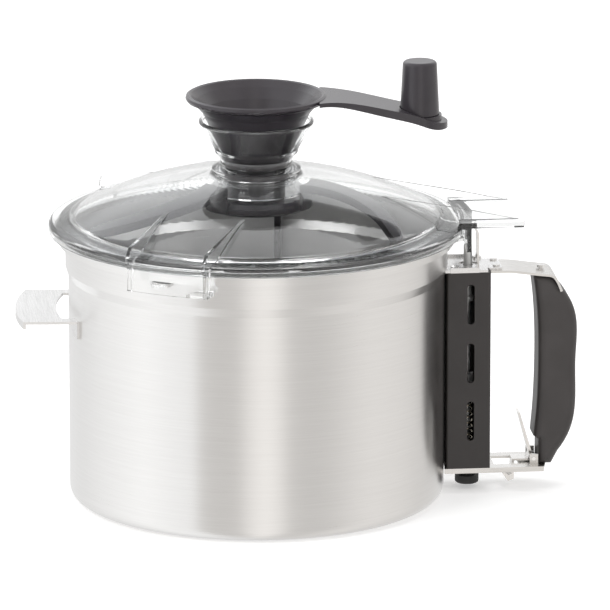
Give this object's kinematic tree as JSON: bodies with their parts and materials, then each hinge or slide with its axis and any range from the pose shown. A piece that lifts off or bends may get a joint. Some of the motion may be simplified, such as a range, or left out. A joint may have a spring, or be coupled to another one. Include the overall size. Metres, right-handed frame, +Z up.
{
  "type": "cutter-mixer bowl assembly",
  "caption": "Stainless cutter-mixer bowl with handle, clear bayonet lid, hand-cranked funnel and scraper, interlock rod and curved blades.",
  "frame": {"origin": "centre of the motor bore, in the plane that the bowl stands on", "axes": "+Z up along the bowl axis, +X towards the handle"},
  "size_m": [0.3745, 0.2768, 0.2953],
  "materials": {
    "brushed_steel": "circular brushed",
    "satin_steel": "satin",
    "bright_steel": "polished",
    "dark_plastic": "fine matt",
    "crank_plastic": "satin",
    "pale_plastic": "satin",
    "black_rubber": "matt",
    "spring_brass": "drawn wire",
    "clear_rubber": "translucent",
    "clear_plastic": "polished clear"
  },
  "bodies": {
    "bowl": {"bowl_base": "brushed_steel", "bowl_wall": "brushed_steel", "bowl_band": "brushed_steel", "center_tube": "satin_steel", "rim_ears": "satin_steel", "rear_bracket": "satin_steel", "top_bracket": "satin_steel", "post_guard": "satin_steel", "handle_strap": "satin_steel", "strap_rivets": "satin_steel", "handle_grip": "dark_plastic", "grip_screws": "satin_steel", "bottom_bracket": "satin_steel", "interlock_column": "dark_plastic", "rod_guides": "pale_plastic", "column_screws": "satin_steel", "lever_pin": "satin_steel", "lever_ears": "satin_steel", "lever_spring": "satin_steel"},
    "rod": {"interlock_rod": "bright_steel", "rod_collar": "bright_steel", "rod_button": "black_rubber", "return_spring": "spring_brass"},
    "lever": {"latch_lever": "satin_steel"},
    "lid_ring": {"lid_seal": "clear_rubber"},
    "lid": {"lid": "clear_plastic", "lid_webs": "clear_plastic", "lid_lugs": "clear_plastic", "lug_ledges": "clear_plastic", "lid_tab": "clear_plastic", "lid_cam": "clear_plastic"},
    "scraper": {"crank_funnel": "crank_plastic", "stem_ring": "black_rubber", "knob_pin": "bright_steel", "scraper_hub": "crank_plastic", "scraper_arms": "crank_plastic", "wiper_lips": "clear_rubber"},
    "knob": {"crank_knob": "crank_plastic"},
    "blades": {"blade_hub": "dark_plastic", "lower_blades": "bright_steel", "blade_spacer": "dark_plastic", "upper_blades": "bright_steel", "blade_sleeve": "dark_plastic", "blade_cap": "dark_plastic"}
  },
  "joints": [
    {"name": "lid_lift", "type": "slide", "parent": "bowl", "child": "lid_ring", "axis": [0, 0, 1], "range_m": [0, 0.2]},
    {"name": "lid_turn", "type": "hinge", "parent": "lid_ring", "child": "lid", "pos_m": [0, 0, 0], "axis": [0, 0, -1], "range_deg": [0, 12]},
    {"name": "scraper_turn", "type": "hinge", "parent": "lid", "child": "scraper", "pos_m": [0, 0, 0], "axis": [0, 0, 1], "continuous": true},
    {"name": "knob_spin", "type": "hinge", "parent": "scraper", "child": "knob", "pos_m": [0.10741, -0.01129, 0.26], "axis": [0, 0, 1], "continuous": true},
    {"name": "rod_press", "type": "slide", "parent": "bowl", "child": "rod", "axis": [0, 0, -1], "range_m": [0, 0.003], "stiffness_N_per_m": 400, "springref_m": -0.004, "deforming": ["return_spring"]},
    {"name": "lever_pull", "type": "hinge", "parent": "bowl", "child": "lever", "pos_m": [0.1852, 0, 0.0206], "axis": [0, 1, 0], "range_deg": [0, 10], "stiffness_Nm_per_rad": 0.4, "springref_deg": -8.59},
    {"name": "blade_spin", "type": "hinge", "parent": "bowl", "child": "blades", "pos_m": [0, 0, 0], "axis": [0, 0, 1], "continuous": true}
  ],
  "couplings": [
    {"joint": "rod_press", "follows": "lid_turn", "m_per_rad": 0.014324}
  ]
}
